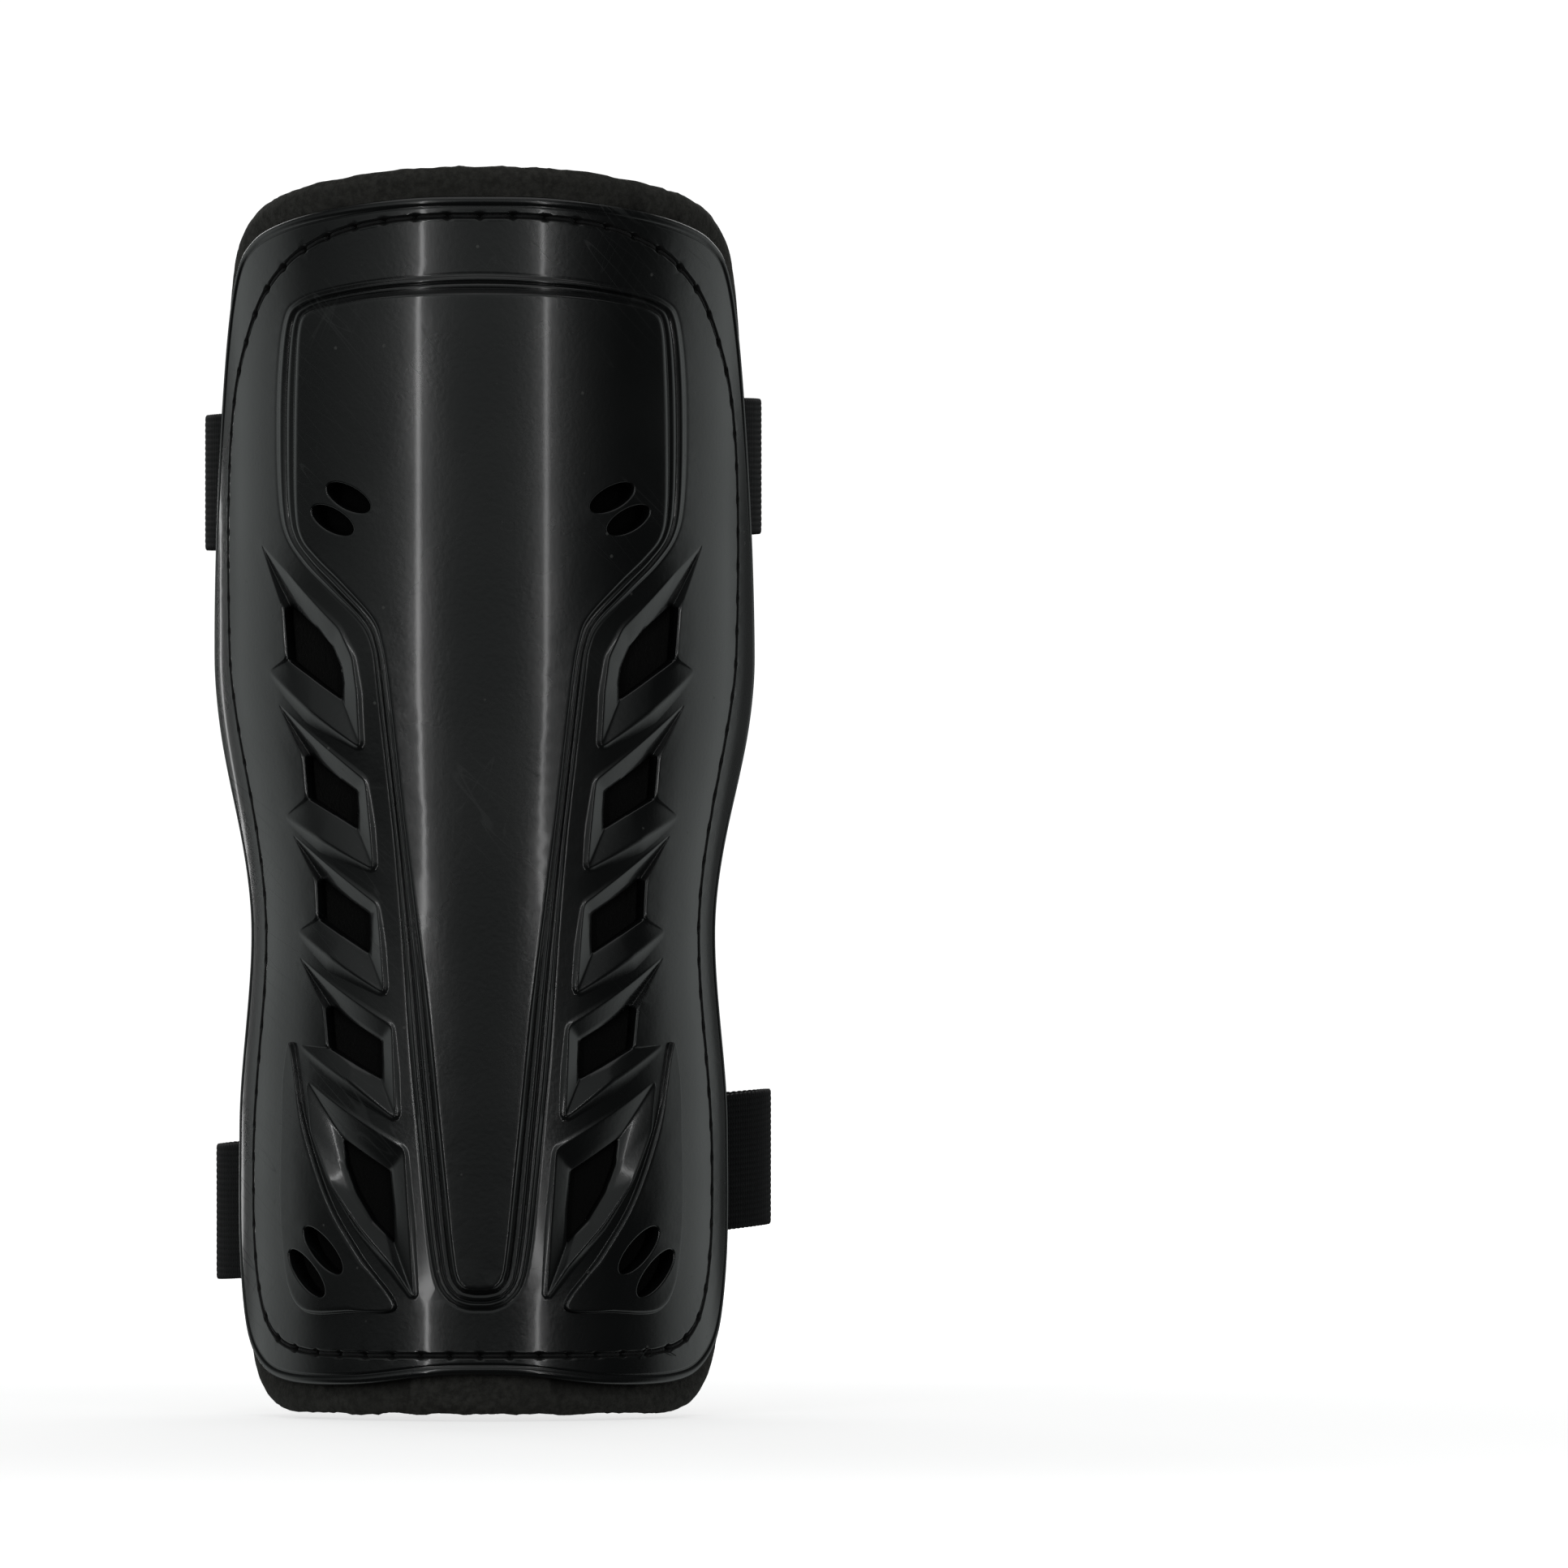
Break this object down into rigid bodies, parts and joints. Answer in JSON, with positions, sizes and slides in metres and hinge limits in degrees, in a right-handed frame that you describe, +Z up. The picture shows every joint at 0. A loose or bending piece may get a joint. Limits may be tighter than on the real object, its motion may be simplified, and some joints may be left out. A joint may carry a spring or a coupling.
{
  "type": "shin guard",
  "caption": "Slip-over shin guard: ribbed, vented moulded shell stitched to a fabric-faced foam pad, with elastic straps that close behind the calf with hook and loop tape.",
  "frame": {"origin": "on the pad's lining where the shin rests against it, on the front ridge half way up the guard", "axes": "+Z up the leg, -Y towards the front, +X across the guard to the side that carries the hook tape"},
  "size_m": [0.106, 0.0921, 0.2308],
  "materials": {
    "shell_plastic": "glossy moulded black with fine scratches",
    "pad_fabric": "brushed nap, brownish black",
    "pad_foam": "matt closed-cell foam with a cut edge",
    "elastic": "ribbed knitted elastic webbing",
    "hook_tape": "woven tape with moulded hooks",
    "loop_tape": "smooth woven back, brushed loop face",
    "thread": "twisted black sewing thread"
  },
  "bodies": {
    "guard": {"outer_shell": "shell_plastic", "face_fabric": "pad_fabric", "foam_core": "pad_foam", "lining": "pad_fabric", "shell_stitching": "thread", "lining_stitching": "thread", "upper_right_anchor": "elastic", "upper_left_anchor": "elastic", "lower_right_anchor": "elastic", "lower_left_anchor": "elastic"},
    "upper_hook_strap": {"upper_right_elastic": "elastic", "upper_hook_tape": "hook_tape", "upper_hook_stitching": "thread"},
    "upper_pull_tab": {"upper_pull_tab": "elastic"},
    "upper_loop_strap": {"upper_left_elastic": "elastic", "upper_loop_tape": "loop_tape", "upper_loop_stitching": "thread"},
    "lower_hook_strap": {"lower_right_elastic": "elastic", "lower_hook_tape": "hook_tape", "lower_hook_stitching": "thread"},
    "lower_pull_tab": {"lower_pull_tab": "elastic"},
    "lower_loop_strap": {"lower_left_elastic": "elastic", "lower_loop_tape": "loop_tape", "lower_loop_stitching": "thread"}
  },
  "joints": [
    {"name": "upper_hook_strap_flex", "type": "hinge", "parent": "guard", "child": "upper_hook_strap", "pos_m": [0.0465, 0.03554, 0.06071], "axis": [0, 0, -1], "range_deg": [0, 75], "stiffness_Nm_per_rad": 0.004},
    {"name": "upper_pull_tab_flex", "type": "hinge", "parent": "upper_hook_strap", "child": "upper_pull_tab", "pos_m": [-0.003, 0.0721, 0.05911], "axis": [0, 0, -1], "range_deg": [0, 50], "stiffness_Nm_per_rad": 0.002},
    {"name": "upper_loop_strap_flex", "type": "hinge", "parent": "guard", "child": "upper_loop_strap", "pos_m": [-0.04658, 0.0363, 0.05769], "axis": [0, 0, 1], "range_deg": [0, 27], "stiffness_Nm_per_rad": 0.004},
    {"name": "lower_hook_strap_flex", "type": "hinge", "parent": "guard", "child": "lower_hook_strap", "pos_m": [0.04216, 0.03101, -0.06878], "axis": [0, 0, -1], "range_deg": [0, 55], "stiffness_Nm_per_rad": 0.004},
    {"name": "lower_pull_tab_flex", "type": "hinge", "parent": "lower_hook_strap", "child": "lower_pull_tab", "pos_m": [-0.003, 0.0641, -0.0741], "axis": [0, 0, -1], "range_deg": [0, 50], "stiffness_Nm_per_rad": 0.002},
    {"name": "lower_loop_strap_flex", "type": "hinge", "parent": "guard", "child": "lower_loop_strap", "pos_m": [-0.04216, 0.03099, -0.07882], "axis": [0, 0, 1], "range_deg": [0, 20], "stiffness_Nm_per_rad": 0.004}
  ],
  "couplings": [
    {"joint": "upper_loop_strap_flex", "follows": "upper_hook_strap_flex", "ratio": 0.35},
    {"joint": "lower_loop_strap_flex", "follows": "lower_hook_strap_flex", "ratio": 0.35}
  ]
}
